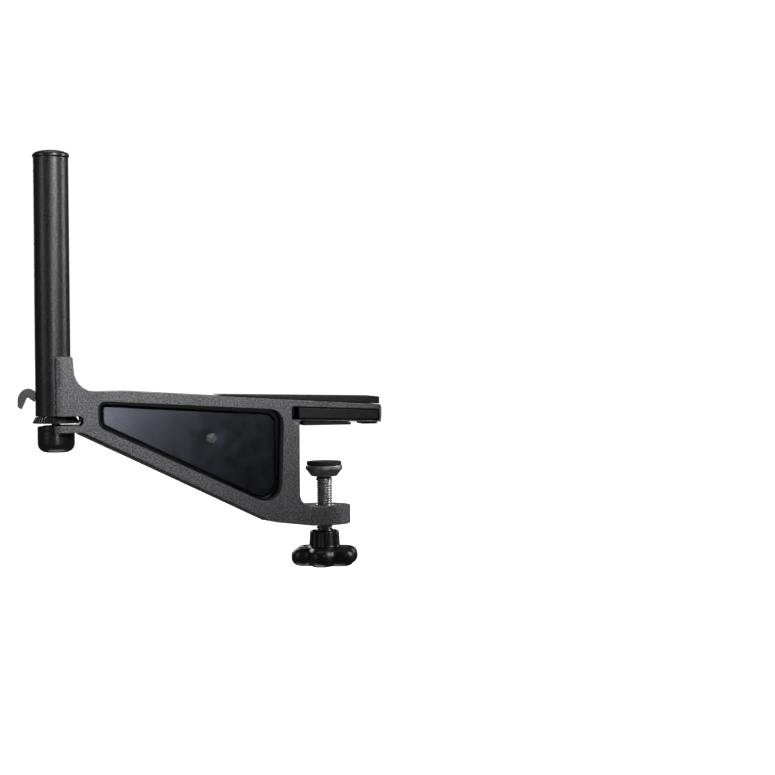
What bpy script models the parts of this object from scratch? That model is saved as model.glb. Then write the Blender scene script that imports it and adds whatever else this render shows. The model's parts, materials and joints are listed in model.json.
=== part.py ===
"""Table tennis net clamp: a screw clamp for the table's edge, its cast arm and its height-adjusted net post.

+Z is up, +X runs from the post along the net to the table, and +Y is the far side. The origin is where the
clamp screw's axis meets the plane of the tabletop. Lengths in this file are millimetres, and every shape is
scaled to metres as its object is made."""

import math

import bmesh
import bpy
from mathutils import Matrix, Vector

METRE = 0.001
GAP = 0.3  # clearance between pieces that touch
COARSE_TURN, FINE_TURN = math.radians(15), math.radians(7.5)  # from one facet of an arc to the next

# Place on the table: the net post's outer side stands one regulation overhang from the table's side edge.
EDGE_X = -16.0
OVERHANG = 152.5
POST_RADIUS = 10.0
POST_X = EDGE_X - OVERHANG + POST_RADIUS

# Casting, seen along +Y.
HALF_DEPTH = 15.5
POST_END_ROUNDING, JAW_END_ROUNDING = 5.0, 3.0  # of its upright edges
CRADLE_LEFT, LUG_LEFT = POST_X + 0.7, POST_X - 0.6
CRADLE_TOP = 41.3
LUG_BOTTOM, SLOT_BOTTOM, SLOT_TOP = -1.8, 2.1, 7.5
SLOT_END = -142.9
TOP_START, TOP_FALL = (-116.5, 21.3), 0.0644  # the arm's top edge and how steeply it falls
UNDER_START, UNDER_FALL = (-141.6, -2.7), 0.492  # its slanting lower edge
JAW_END = 32.5
LEG_FACE = EDGE_X - 1.9  # side of the leg that looks at the table's edge
THROAT_BOTTOM, BASE_BOTTOM = -48.0, -59.0
BASE_START, BASE_FALL = -10.5, 0.1244  # start and steepness of the base's rise towards the post
BOSS_RADIUS = 15.5
WEB_HALF = 1.7
UNDER_STEPS = ((12.7, 0.75), (9.9, 1.5), (7.1, 2.25))  # half depth and drop of each step of the underside

# Recess in the side of the arm, and the panel in it.
RECESS = (
    (-134.4, 15.8, 3.5),
    (-27.4, 9.3, 8.0),
    (-29.2, -49.0, 9.5),
    (-134.4, 1.2, 5.0),
)
PANEL = (
    (-131.9, 13.9, 2.6),
    (-30.6, 7.1, 6.5),
    (-30.9, -46.8, 8.5),
    (-131.9, 1.8, 4.2),
)
PANEL_INSETS = ((1, -1), (-1, -1), (-1, 2.6), (1, 1.4))  # walls each corner of its hollow lies inside
PANEL_OUTER, PANEL_WALL = 7.0, 1.7  # distance of its face from the middle plane, and its thickness
RIVET = (-68.9, -6.6)
RIVET_SHANK, RIVET_HEAD, RIVET_POST = 1.9, 3.2, 4.5

# Upper jaw.
POCKET_LEFT, POCKET_RIGHT = -22.5, 30.4
POCKET_FLOOR, INSERT_FACE = 2.0, 14.9
INSERT_LEFT = -18.3
COVER_LEFT, COVER_RIGHT = -64.0, 30.5
COVER_TOP = (-73.6, 18.9, 0.0233)  # a point of its top edge, and how steeply that falls
COVER_HALF = 15.0
COVER_PEGS = (-12.0, 18.0)
PEG_RADIUS, PEG_DEPTH = 2.0, 3.0
PAD_LEFT, PAD_RIGHT, PAD_HALF = -15.6, 13.2, 14.5
TIP_LEFT, TIP_RIGHT, TIP_HALF = 22.0, 31.2, 7.0

# Net post.
POST_BOTTOM, POST_TOP, POST_BORE = 7.3, 154.6, 8.5
CAP_RADIUS, CAP_TOP, DOME_BOTTOM, SKIRT_LENGTH = 10.5, 159.3, 156.1, 7.0
CORD_SLOT_HALF, CORD_SLOT_BOTTOM = 0.9, 156.5
LINER_BOTTOM, LINER_OUTER, LINER_INNER = 26.0, 11.0, 10.25
PLUG_TOP, NUT_BOTTOM, NUT_HEIGHT, NUT_FLATS = 23.0, 16.6, 4.2, 8.0
KEY_BOTTOM, KEY_TOP, KEYWAY_TOP = 8.6, 14.6, 20.2
KEY_NECK, KEY_HEAD = 2.3, 4.3  # half widths
KEY_NECK_X, KEY_HEAD_X = POST_X + 12.8, POST_X + 15.4
KEY_SCREW_Z = 11.6
KEY_SCREW_RADIUS, KEY_SCREW_HEAD = 1.5, 2.6
HOOK_PEG_Z, HOOK_PEG_RADIUS = 19.0, 2.0
HOOK_HALF = 2.6
HOOK = (
    (POST_X - 10.25, 21.9, 0.3),
    (-171.6, 23.6, 1.5),
    (-175.4, 22.8, 2.0),
    (-178.3, 19.0, 2.5),
    (-178.3, 12.9, 1.0),
    (-176.3, 11.4, 0.7),
    (-174.4, 15.6, 1.5),
    (-173.0, 19.3, 1.2),
    (-171.0, 17.0, 1.5),
    (POST_X - 10.25, 15.6, 0.3),
)

# Height adjuster. Its axis stands a little nearer the arm than the post's.
ADJUSTER_X = POST_X + 1.5
SPINDLE_RADIUS, SPINDLE_BOTTOM, SPINDLE_TOP = 2.5, -10.5, 38.0
WHEEL_BOTTOM, WHEEL_TOP, WHEEL_RADIUS, WHEEL_RIBS, WHEEL_TAPER = 3.4, 6.9, 13.3, 44, 0.88
CUP_BOTTOM, CUP_TOP, CUP_RADIUS, CUP_WALL, CUP_BEND = -13.3, 1.7, 10.5, 2.2, 5.2
NOSE_RADIUS, BUSH_RADIUS = 7.5, 3.6
CLIP_Z, CLIP_THICKNESS = -5.0, 0.6

# Clamp screw, its foot and its knob.
SCREW_RADIUS, SCREW_BOTTOM = 5.0, -81.0
FOOT_FACE, FOOT_TOP, FOOT_BOTTOM, FOOT_RADIUS = -22.0, -24.3, -31.0, 11.0
NECK_RADIUS, NECK_BOTTOM, NECK_TOP = 3.0, -31.4, -26.2
RING_TOP, RING_BOTTOM = -29.4, -30.4  # groove for the foot's clip
INSERT_RADIUS = 8.5
HUB_TOP, KNOB_TOP, KNOB_BOTTOM, KNOB_RIM = -63.2, -73.0, -83.8, 3.4
HUB_RADIUS, HUB_TAPER, HUB_FLUTES, HUB_TURN = 9.6, 0.93, 6, math.radians(24)
KNOB_RADIUS, KNOB_LOBES, KNOB_TURN = 20.6, 6, math.radians(8)


def arm_top(x):
    return TOP_START[1] - (x - TOP_START[0]) * TOP_FALL


def under_edge(x):
    return UNDER_START[1] - (x - UNDER_START[0]) * UNDER_FALL


def base_edge(x):
    return BASE_BOTTOM - (x - BASE_START) * BASE_FALL


def under_end(drop):
    """Where the slanting edge, lowered by drop, meets the base's underside."""
    height = UNDER_START[1] - drop - BASE_BOTTOM
    return (height + UNDER_START[0] * UNDER_FALL - BASE_START * BASE_FALL) / (UNDER_FALL - BASE_FALL)


def jaw_under(x):
    """Underside of the upper jaw, which rises a little away from its tip."""
    return 1.4 + (30.6 - x) * 0.027


def pocket_low(x):
    return jaw_under(x) + 0.8


def pocket_high(x):
    return 9.0 + (30.4 - x) * 0.043


def cover_top(x):
    return COVER_TOP[1] - (x - COVER_TOP[0]) * COVER_TOP[2]


def clear_scene():
    for obj in list(bpy.data.objects):
        bpy.data.objects.remove(obj, do_unlink=True)


def new_collection(name):
    collection = bpy.data.collections.new(name)
    bpy.context.scene.collection.children.link(collection)
    return collection


def principled(name, colour, roughness, metallic=0.0):
    material = bpy.data.materials.new(name)
    material.use_nodes = True
    shader = material.node_tree.nodes["Principled BSDF"]
    shader.inputs["Base Color"].default_value = (*colour, 1.0)
    shader.inputs["Roughness"].default_value = roughness
    shader.inputs["Metallic"].default_value = metallic
    return material


def rounded(corners, step=COARSE_TURN):
    """The points of an outline whose corners (x, y, radius) are replaced by arcs."""
    points = []
    count = len(corners)
    for index, (x, y, radius) in enumerate(corners):
        corner = Vector((x, y))
        before = (Vector(corners[index - 1][:2]) - corner).normalized()
        after = (Vector(corners[(index + 1) % count][:2]) - corner).normalized()
        if radius == 0:
            points.append(corner)
            continue
        half = before.angle(after) / 2
        centre = corner + (before + after).normalized() * radius / math.sin(half)
        start = corner + before * radius / math.tan(half) - centre
        end = corner + after * radius / math.tan(half) - centre
        turn = math.atan2(start.cross(end), start.dot(end))
        arcs = max(1, math.ceil(abs(turn) / step))
        for arc in range(arcs + 1):
            angle = turn * arc / arcs
            points.append(centre + Matrix.Rotation(angle, 2) @ start)
    return points


def regular(sides, radius):
    turns = (math.tau * side / sides for side in range(sides))
    return [(radius * math.cos(turn), radius * math.sin(turn)) for turn in turns]


def link(obj, collection, material=None, location=(0, 0, 0)):
    collection.objects.link(obj)
    obj.location = Vector(location) * METRE
    if material:
        obj.data.materials.append(material)
        obj.data.shade_smooth()
        obj.data.set_sharp_from_angle(angle=math.radians(35))
    return obj


def prism(name, outline, low, high, rim=0.0):
    """A mesh whose outline lies in XY and which reaches from low to high along Z, its rims rounded by rim."""
    curve = bpy.data.curves.new(name, "CURVE")
    curve.dimensions = "2D"
    curve.fill_mode = "BOTH"
    curve.extrude = ((high - low) / 2 - rim) * METRE
    curve.bevel_depth = rim * METRE
    curve.bevel_resolution = 0
    curve.offset = -rim * METRE
    spline = curve.splines.new("POLY")
    spline.points.add(len(outline) - 1)
    for point, place in zip(spline.points, outline):
        point.co = (place[0] * METRE, place[1] * METRE, 0, 1)
    spline.use_cyclic_u = True
    source = bpy.data.objects.new(name, curve)
    bpy.context.scene.collection.objects.link(source)
    source.location.z = (high + low) / 2 * METRE
    bpy.context.view_layer.update()
    graph = bpy.context.evaluated_depsgraph_get()
    mesh = bpy.data.meshes.new_from_object(source.evaluated_get(graph))
    mesh.transform(source.matrix_world)
    bpy.data.objects.remove(source, do_unlink=True)
    return closed_mesh(mesh)


def closed_mesh(mesh):
    shape = bmesh.new()
    shape.from_mesh(mesh)
    bmesh.ops.remove_doubles(shape, verts=shape.verts, dist=1e-6)
    bmesh.ops.recalc_face_normals(shape, faces=shape.faces)
    shape.to_mesh(mesh)
    shape.free()
    return mesh


def side_prism(name, corners, near, far, rim=0.0, step=COARSE_TURN):
    """A mesh whose outline lies in XZ, as seen along +Y, and which reaches from near to far along Y."""
    mesh = prism(name, rounded(corners, step), -far, -near, rim)
    mesh.transform(Matrix.Rotation(math.pi / 2, 4, "X"))
    return mesh


def box(name, low, high):
    shape = bmesh.new()
    size = [b - a for a, b in zip(low, high)]
    middle = [(a + b) / 2 for a, b in zip(low, high)]
    matrix = Matrix.Translation(Vector(middle) * METRE) @ Matrix.Diagonal((*[s * METRE for s in size], 1))
    bmesh.ops.create_cube(shape, size=1, matrix=matrix)
    mesh = bpy.data.meshes.new(name)
    shape.to_mesh(mesh)
    shape.free()
    return mesh


def rod(name, radius, start, end, sides=32):
    """A cylinder from one point to another."""
    a, b = Vector(start) * METRE, Vector(end) * METRE
    turn = (b - a).to_track_quat("Z", "Y").to_matrix().to_4x4()
    shape = bmesh.new()
    bmesh.ops.create_cone(
        shape,
        cap_ends=True,
        segments=sides,
        radius1=radius * METRE,
        radius2=radius * METRE,
        depth=(b - a).length,
        matrix=Matrix.Translation((a + b) / 2) @ turn,
    )
    mesh = bpy.data.meshes.new(name)
    shape.to_mesh(mesh)
    shape.free()
    return mesh


def turned(name, profile, material, collection, location=(0, 0, 0), steps=32, ring=False):
    """A solid of revolution about Z. The profile (radius, height) runs down its outer side."""
    mesh = bpy.data.meshes.new(name)
    count = len(profile)
    edges = [(i, i + 1) for i in range(count - 1)]
    if ring:
        edges.append((count - 1, 0))
    mesh.from_pydata([(r * METRE, 0, z * METRE) for r, z in profile], edges, [])
    obj = link(bpy.data.objects.new(name, mesh), collection, None, location)
    screw = obj.modifiers.new("turn", "SCREW")
    screw.steps = screw.render_steps = steps
    screw.use_merge_vertices = True
    screw.merge_threshold = 1e-5
    screw.use_smooth_shade = False
    if material:
        mesh.materials.append(material)
    return obj


def cut(obj, other, operation="DIFFERENCE"):
    modifier = obj.modifiers.new(other.name, "BOOLEAN")
    modifier.operation = operation
    modifier.object = other


class Workshop:
    """Makes parts in one collection and the shapes that cut or join them in another."""

    def __init__(self, name):
        self.parts = new_collection(name)
        self.tools = new_collection(name + "_cutters")
        self.tools.hide_render = True

    def part(self, name, mesh, material, location=(0, 0, 0)):
        return link(bpy.data.objects.new(name, mesh), self.parts, material, location)

    def turned_part(self, name, profile, material, location=(0, 0, 0), **options):
        return turned(name, profile, material, self.parts, location, **options)

    def tool(self, mesh, location=(0, 0, 0)):
        return self.hidden(link(bpy.data.objects.new("tool_" + mesh.name, mesh), self.tools, None, location))

    def turned_tool(self, name, profile, location=(0, 0, 0), **options):
        return self.hidden(turned("tool_" + name, profile, None, self.tools, location, **options))

    @staticmethod
    def hidden(obj):
        obj.hide_render = True
        obj.display_type = "WIRE"
        return obj


def pivot(shop, name, location):
    """An empty on a joint's axis, which carries the pieces that move together."""
    empty = bpy.data.objects.new(name, None)
    shop.parts.objects.link(empty)
    empty.empty_display_size = 0.01
    empty.location = Vector(location) * METRE
    return empty


def carry(parent, *pieces):
    """Parents pieces to a pivot without moving them."""
    for piece in pieces:
        piece.parent = parent
        piece.matrix_parent_inverse = Matrix.Translation(-parent.location)


def casting_outline():
    """The casting's outline. The lug's end lies a little outside, because the plan trims and rounds it."""
    lug_end = LUG_LEFT - 1
    slot_middle = (SLOT_BOTTOM + SLOT_TOP) / 2
    return (
        (CRADLE_LEFT, CRADLE_TOP, 0),
        (-148.6, CRADLE_TOP, 1.0),
        (-147.0, 21.3, 12.5),
        (*TOP_START, 0),
        (JAW_END - 0.9, arm_top(JAW_END), 0.8),
        (JAW_END, 7.2, 3.0),
        (JAW_END - 1.0, jaw_under(JAW_END), 0.5),
        (LEG_FACE, jaw_under(LEG_FACE), 1.0),
        (LEG_FACE, THROAT_BOTTOM, 8.0),
        (0, THROAT_BOTTOM, 0),
        (0, BASE_BOTTOM, 0),
        (BASE_START, BASE_BOTTOM, 0),
        (under_end(0), base_edge(under_end(0)), 3.0),
        (*UNDER_START, 3.0),
        (-144.0, LUG_BOTTOM, 2.0),
        (lug_end, LUG_BOTTOM, 0),
        (lug_end, slot_middle, 0),
        (CRADLE_LEFT, slot_middle, 0),
    )


def under_step(drop):
    """Outline of the strip that stands below the slanting edge by drop and ends in the base's underside."""
    left, right, end = UNDER_START[0] - 3.5, -26.0, under_end(drop)
    return (
        (left, under_edge(left) + 0.5, 0),
        (-120.0, under_edge(-120.0) + 4.0, 0),
        (-40.0, under_edge(-40.0) + 4.0, 0),
        (right, base_edge(right) + 4.0, 0),
        (right, base_edge(right) + 0.4, 0),
        (end, base_edge(end), 0),
        (left, under_edge(left) - drop, 0),
    )


def bracket_casting(shop, coat):
    """The whole casting: post cradle, arm, leg, upper jaw and base with its boss."""
    blank = side_prism("casting", casting_outline(), -HALF_DEPTH - 1, HALF_DEPTH + 1, step=FINE_TURN)
    casting = shop.part("bracket_casting", blank, coat)
    right = JAW_END - 0.2
    plan = (
        (LUG_LEFT, -HALF_DEPTH, POST_END_ROUNDING),
        (right, -HALF_DEPTH, JAW_END_ROUNDING),
        (right, HALF_DEPTH, JAW_END_ROUNDING),
        (LUG_LEFT, HALF_DEPTH, POST_END_ROUNDING),
    )
    cut(casting, shop.tool(prism("plan", rounded(plan, FINE_TURN), -80, 60)), "INTERSECT")
    for half, drop in UNDER_STEPS:
        cut(casting, shop.tool(side_prism(f"step_{half}", under_step(drop), -half, half)), "UNION")
    boss = shop.tool(rod("boss", BOSS_RADIUS, (0, 0, BASE_BOTTOM), (0, 0, THROAT_BOTTOM), 48))
    nose = shop.tool(rod("nose", NOSE_RADIUS, (ADJUSTER_X, 0, LUG_BOTTOM), (ADJUSTER_X, 0, SLOT_BOTTOM), 40))
    for joined in (boss, nose):
        cut(casting, joined, "UNION")
    for side in (-1, 1):
        near, far = sorted((side * WEB_HALF, side * 20))
        cut(casting, shop.tool(side_prism(f"recess_{side}", RECESS, near, far, step=FINE_TURN)))
        near, far = sorted((side * POCKET_FLOOR, side * 20))
        cut(casting, shop.tool(side_prism(f"pocket_{side}", pocket_outline(0, POCKET_LEFT), near, far)))
    for cutter in casting_bores(shop):
        cut(casting, cutter)
    return casting


def pocket_outline(inset, left):
    right = POCKET_RIGHT - inset
    return (
        (left, pocket_high(left) - inset, 0.8),
        (right, pocket_high(right) - inset, 0.8),
        (right, pocket_low(right) + inset, 0.5),
        (left, pocket_low(left) + inset, 0.5),
    )


def casting_bores(shop):
    """Cutters for the cradle, the wheel's slot, the keyway and the holes."""
    slot = (
        (-190, SLOT_TOP, 0),
        (SLOT_END, SLOT_TOP, 2.2),
        (SLOT_END, SLOT_BOTTOM, 2.2),
        (-190, SLOT_BOTTOM, 0),
    )
    head_low, head_high = KEY_NECK_X - GAP, KEY_HEAD_X + GAP
    neck, head = KEY_NECK + GAP, KEY_HEAD + GAP
    meshes = [
        rod("post_seat", POST_RADIUS + 0.35, (POST_X, 0, SLOT_TOP - 1), (POST_X, 0, 60), 64),
        rod("liner_seat", LINER_OUTER + GAP, (POST_X, 0, LINER_BOTTOM - GAP), (POST_X, 0, 60), 64),
        side_prism("slot", slot, -25, 25),
        box("key_mouth", (POST_X, -neck, SLOT_TOP - 1), (head_low + 0.5, neck, KEYWAY_TOP)),
        box("keyway", (head_low, -head, SLOT_TOP - 1), (head_high, head, KEYWAY_TOP)),
        rod("bush_hole", BUSH_RADIUS + GAP, (ADJUSTER_X, 0, -5), (ADJUSTER_X, 0, SLOT_BOTTOM + 1), 32),
        rod("rivet_hole", RIVET_SHANK + GAP, (RIVET[0], -5, RIVET[1]), (RIVET[0], 5, RIVET[1]), 24),
        rod("insert_hole", INSERT_RADIUS + GAP, (0, 0, -70), (0, 0, -40), 40),
    ]
    for x in COVER_PEGS:
        bottom = arm_top(x) - PEG_DEPTH - 0.4
        meshes.append(rod(f"peg_hole_{x}", PEG_RADIUS + GAP, (x, 0, bottom), (x, 0, 40), 20))
    return [shop.tool(mesh) for mesh in meshes]


def side_panels(shop, plastic):
    """The two moulded panels, hollow on the side of the web, with a post for the rivet."""
    inner = WEB_HALF + GAP
    for name, side in (("front_panel", -1), ("rear_panel", 1)):
        near, far = sorted((side * inner, side * PANEL_OUTER))
        panel = shop.part(name, side_prism(name, PANEL, near, far, rim=0.9), plastic)
        hollow = []
        for (x, z, radius), (right, up) in zip(PANEL, PANEL_INSETS):
            hollow.append((x + right * PANEL_WALL, z + up * PANEL_WALL, radius))
        near, far = sorted((side * (inner - 3), side * (PANEL_OUTER - PANEL_WALL)))
        cavity = shop.tool(side_prism(f"cavity_{side}", hollow, near, far))
        start, end = ((RIVET[0], side * depth, RIVET[1]) for depth in (inner, PANEL_OUTER - 0.5))
        post = shop.tool(rod(f"rivet_post_{side}", RIVET_POST, start, end, 24))
        start, end = ((RIVET[0], side * depth, RIVET[1]) for depth in (0, 10))
        hole = shop.tool(rod(f"panel_hole_{side}", RIVET_SHANK + GAP, start, end, 24))
        cut(panel, cavity)
        cut(panel, post, "UNION")
        cut(panel, hole)


def panel_rivet(shop, steel):
    """One rivet through the web, with a low round head on each panel."""
    base = PANEL_OUTER + GAP
    turns = [math.radians(25 * step) for step in range(4)]
    dome = [(RIVET_HEAD * math.cos(turn), base + 0.3 + 1.5 * math.sin(turn)) for turn in turns]
    upper = [(0, base + 1.8)] + dome[::-1] + [(RIVET_HEAD, base), (RIVET_SHANK, base)]
    lower = [(r, -z) for r, z in upper[::-1]]
    rivet = shop.turned_part("panel_rivet", upper + lower, steel, steps=20)
    rivet.location = (RIVET[0] * METRE, 0, RIVET[1] * METRE)
    rivet.rotation_euler.x = math.pi / 2


def jaw_pieces(shop, plastic, insert_plastic, rubber):
    """What is fitted to the upper jaw: top cover, side inserts, table pad and tip foot."""
    cover = (
        (COVER_LEFT, cover_top(COVER_LEFT), 0),
        (COVER_RIGHT, cover_top(COVER_RIGHT), 0.7),
        (COVER_RIGHT, arm_top(COVER_RIGHT) + GAP, 0.4),
        (COVER_LEFT, arm_top(COVER_LEFT) + GAP, 0),
    )
    top_cover = shop.part("jaw_top_cover", side_prism("cover", cover, -COVER_HALF, COVER_HALF), plastic)
    for x in COVER_PEGS:
        peg = rod(f"peg_{x}", PEG_RADIUS, (x, 0, arm_top(x) - PEG_DEPTH), (x, 0, arm_top(x) + 1.0), 20)
        cut(top_cover, shop.tool(peg), "UNION")
    for name, side in (("jaw_front_insert", -1), ("jaw_rear_insert", 1)):
        near, far = sorted((side * (POCKET_FLOOR + GAP), side * INSERT_FACE))
        shop.part(name, side_prism(name, pocket_outline(GAP, INSERT_LEFT), near, far, rim=0.5), insert_plastic)
    pad = (
        (PAD_LEFT, 0, 0),
        (PAD_RIGHT, 0, 0.5),
        (PAD_RIGHT, jaw_under(PAD_RIGHT) - GAP, 0),
        (PAD_LEFT, jaw_under(PAD_LEFT) - GAP, 0),
    )
    shop.part("jaw_pad", side_prism("pad", pad, -PAD_HALF, PAD_HALF), rubber)
    tip = (
        (TIP_LEFT, 0, 0.4),
        (TIP_RIGHT, 0, 0.7),
        (TIP_RIGHT, jaw_under(TIP_RIGHT) - GAP, 0),
        (TIP_LEFT, jaw_under(TIP_LEFT) - GAP, 0),
    )
    shop.part("jaw_tip_foot", side_prism("tip_foot", tip, -TIP_HALF, TIP_HALF), rubber)


def cradle_liner(shop, nylon):
    """The half shell between the post and the top of the cradle."""
    top = CRADLE_TOP - GAP
    ring = [(LINER_OUTER, top), (LINER_OUTER, LINER_BOTTOM), (LINER_INNER, LINER_BOTTOM), (LINER_INNER, top)]
    liner = shop.turned_part("cradle_liner", ring, nylon, (POST_X, 0, 0), steps=64, ring=True)
    cut(liner, shop.tool(box("liner_open", (POST_X - 30, -30, 0), (POST_X - 1.0, 30, 60))))
    # The arm's side is open above its fillet, so the shell ends where the casting no longer backs it.
    cut(liner, shop.tool(box("liner_gap", (-148.9, -30, 33.0), (-130, 30, 60))))


def post_pieces(shop, coat, plastic, hook_plastic, nylon, steel):
    """The post and all that is fixed to it."""
    tube = [
        (POST_RADIUS, POST_TOP),
        (POST_RADIUS, POST_BOTTOM),
        (POST_BORE, POST_BOTTOM),
        (POST_BORE, POST_TOP),
    ]
    post = shop.turned_part("post_tube", tube, coat, (POST_X, 0, 0), steps=64, ring=True)
    plug_radius = POST_BORE - GAP
    plug_bottom = POST_BOTTOM + GAP
    body = rod("plug", plug_radius, (POST_X, 0, plug_bottom), (POST_X, 0, PLUG_TOP), 32)
    plug = shop.part("post_plug", body, nylon)
    bore = rod("spindle_bore", SPINDLE_RADIUS + GAP, (ADJUSTER_X, 0, 0), (ADJUSTER_X, 0, 40), 24)
    spindle_bore = shop.tool(bore)
    cut(plug, spindle_bore)
    hexagon = regular(6, NUT_FLATS / 2 / math.cos(math.pi / 6))
    seat = regular(6, (NUT_FLATS / 2 + GAP) / math.cos(math.pi / 6))
    at = (ADJUSTER_X, 0, 0)
    cut(plug, shop.tool(prism("nut_seat", seat, NUT_BOTTOM - GAP, PLUG_TOP + 1), at))
    nut = shop.part("post_nut", prism("nut", hexagon, NUT_BOTTOM, NUT_BOTTOM + NUT_HEIGHT), steel, at)
    cut(nut, spindle_bore)
    key, screw = guide_key(shop, nylon, steel)
    hook = cord_hook(shop, hook_plastic)
    key_hole = (POST_X + 5.0, 0, KEY_SCREW_Z), (POST_X + 12, 0, KEY_SCREW_Z)
    hook_hole = (POST_X - 12, 0, HOOK_PEG_Z), (POST_X - 5.4, 0, HOOK_PEG_Z)
    holes = (
        ("key_hole", KEY_SCREW_RADIUS, key_hole),
        ("hook_hole", HOOK_PEG_RADIUS, hook_hole),
    )
    for name, radius, (start, end) in holes:
        hole = shop.tool(rod(name, radius + GAP, start, end, 24))
        cut(post, hole)
        cut(plug, hole)
    cap = post_cap(shop, plastic)
    return post, plug, nut, key, screw, hook, cap


def post_cap(shop, plastic):
    """The domed cap: a skirt inside the tube, a rim, and a slot along X for the net's cord."""
    turns = [math.radians(16 * step) for step in range(6)]
    rise = CAP_TOP - DOME_BOTTOM
    dome = [(CAP_RADIUS * math.cos(turn), DOME_BOTTOM + rise * math.sin(turn)) for turn in turns]
    skirt, skirt_bottom = POST_BORE - GAP, POST_TOP - SKIRT_LENGTH
    profile = [(0, CAP_TOP)] + dome[::-1]
    profile += [(CAP_RADIUS, POST_TOP + GAP), (skirt, POST_TOP + GAP), (skirt, skirt_bottom), (0, skirt_bottom)]
    cap = shop.turned_part("post_cap", profile, plastic, (POST_X, 0, 0), steps=40)
    low = (POST_X - 15, -CORD_SLOT_HALF, CORD_SLOT_BOTTOM)
    slot = box("cord_slot", low, (POST_X + 15, CORD_SLOT_HALF, CAP_TOP + 2))
    cut(cap, shop.tool(slot))
    return cap


def cord_hook(shop, plastic):
    """The hook that the net's cord is tied round, pegged through the tube into the plug."""
    hook = shop.part("cord_hook", side_prism("hook", HOOK, -HOOK_HALF, HOOK_HALF, rim=0.6), plastic)
    peg = rod("hook_peg", HOOK_PEG_RADIUS, (POST_X - 11, 0, HOOK_PEG_Z), (POST_X - 5.7, 0, HOOK_PEG_Z), 20)
    cut(hook, shop.tool(peg), "UNION")
    tube = rod("hook_saddle", POST_RADIUS + GAP, (POST_X, 0, 0), (POST_X, 0, HOOK_PEG_Z - 2.4), 64)
    cut(hook, shop.tool(tube))
    return hook


def guide_key(shop, nylon, steel):
    """The T-shaped key that slides in the casting and keeps the post in its cradle, and its screw."""
    key = shop.part(
        "guide_key", box("key", (KEY_NECK_X, -KEY_HEAD, KEY_BOTTOM), (KEY_HEAD_X, KEY_HEAD, KEY_TOP)), nylon
    )
    neck = box("key_neck", (POST_X + 9, -KEY_NECK, KEY_BOTTOM), (KEY_NECK_X + 0.5, KEY_NECK, KEY_TOP))
    cut(key, shop.tool(neck), "UNION")
    cut(key, shop.tool(rod("key_saddle", POST_RADIUS + GAP, (POST_X, 0, 0), (POST_X, 0, 40), 64)))
    start, end = (POST_X + 8, 0, KEY_SCREW_Z), (KEY_HEAD_X + 1, 0, KEY_SCREW_Z)
    cut(key, shop.tool(rod("key_screw_hole", KEY_SCREW_RADIUS + GAP, start, end, 20)))
    head_seat = (KEY_HEAD_X - 1.9, 0, KEY_SCREW_Z)
    cut(key, shop.tool(rod("key_head_seat", KEY_SCREW_HEAD + GAP, head_seat, end, 20)))
    shank, head = KEY_SCREW_RADIUS, KEY_SCREW_HEAD
    profile = [(0, 0), (head, 0), (head, -1.5), (shank, -1.5), (shank, -9.4), (0, -9.4)]
    screw = shop.turned_part("guide_screw", profile, steel, steps=20)
    screw.location = Vector((KEY_HEAD_X - 0.1, 0, KEY_SCREW_Z)) * METRE
    screw.rotation_euler.y = math.pi / 2
    return key, screw


def thumbwheel_mesh():
    """A knurled wheel: ribs standing on a round rim, which narrows towards the top."""
    points = []
    for rib in range(WHEEL_RIBS):
        for share, reach in ((0, 1.0), (0.45, 1.0), (0.55, 0.95), (0.9, 0.95)):
            angle = math.tau * (rib + share) / WHEEL_RIBS
            points.append((WHEEL_RADIUS * reach * math.cos(angle), WHEEL_RADIUS * reach * math.sin(angle)))
    mesh = prism("wheel", points, WHEEL_BOTTOM, WHEEL_TOP)
    middle = (WHEEL_BOTTOM + WHEEL_TOP) / 2 * METRE
    for vertex in mesh.vertices:
        if vertex.co.z > middle:
            vertex.co.xy *= WHEEL_TAPER
    return mesh


def adjuster_pieces(shop, plastic, steel):
    """Knurled wheel, threaded spindle and the clip that holds it in the lug."""
    at = (ADJUSTER_X, 0, 0)
    wheel = shop.part("thumbwheel", thumbwheel_mesh(), plastic, at)
    cut(wheel, shop.tool(rod("wheel_bore", SPINDLE_RADIUS + GAP, (0, 0, 0), (0, 0, 10), 24), at))
    groove_top, groove_bottom = CLIP_Z + CLIP_THICKNESS, CLIP_Z - CLIP_THICKNESS
    profile = [
        (0, SPINDLE_TOP),
        (SPINDLE_RADIUS - 0.6, SPINDLE_TOP),
        (SPINDLE_RADIUS, SPINDLE_TOP - 0.6),
        (SPINDLE_RADIUS, groove_top),
        (SPINDLE_RADIUS - 0.7, groove_top),
        (SPINDLE_RADIUS - 0.7, groove_bottom),
        (SPINDLE_RADIUS, groove_bottom),
        (SPINDLE_RADIUS, SPINDLE_BOTTOM + 0.6),
        (SPINDLE_RADIUS - 0.6, SPINDLE_BOTTOM),
        (0, SPINDLE_BOTTOM),
    ]
    spindle = shop.turned_part("adjuster_screw", profile, steel, at, steps=20)
    clip = snap_ring(shop, "spindle_clip", CLIP_Z, SPINDLE_RADIUS - 0.4, 5.2, steel, at)
    return wheel, spindle, clip


def snap_ring(shop, name, middle, inner, outer, steel, at):
    """A flat retaining ring with a gap on its -X side."""
    top, bottom = middle + CLIP_THICKNESS / 2, middle - CLIP_THICKNESS / 2
    ring = [(outer, top), (outer, bottom), (inner, bottom), (inner, top)]
    clip = shop.turned_part(name, ring, steel, at, steps=20, ring=True)
    gap = box(name + "_gap", (at[0] - outer - 1, -inner * 0.8, bottom - 1), (at[0], inner * 0.8, top + 1))
    cut(clip, shop.tool(gap))
    return clip


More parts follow.
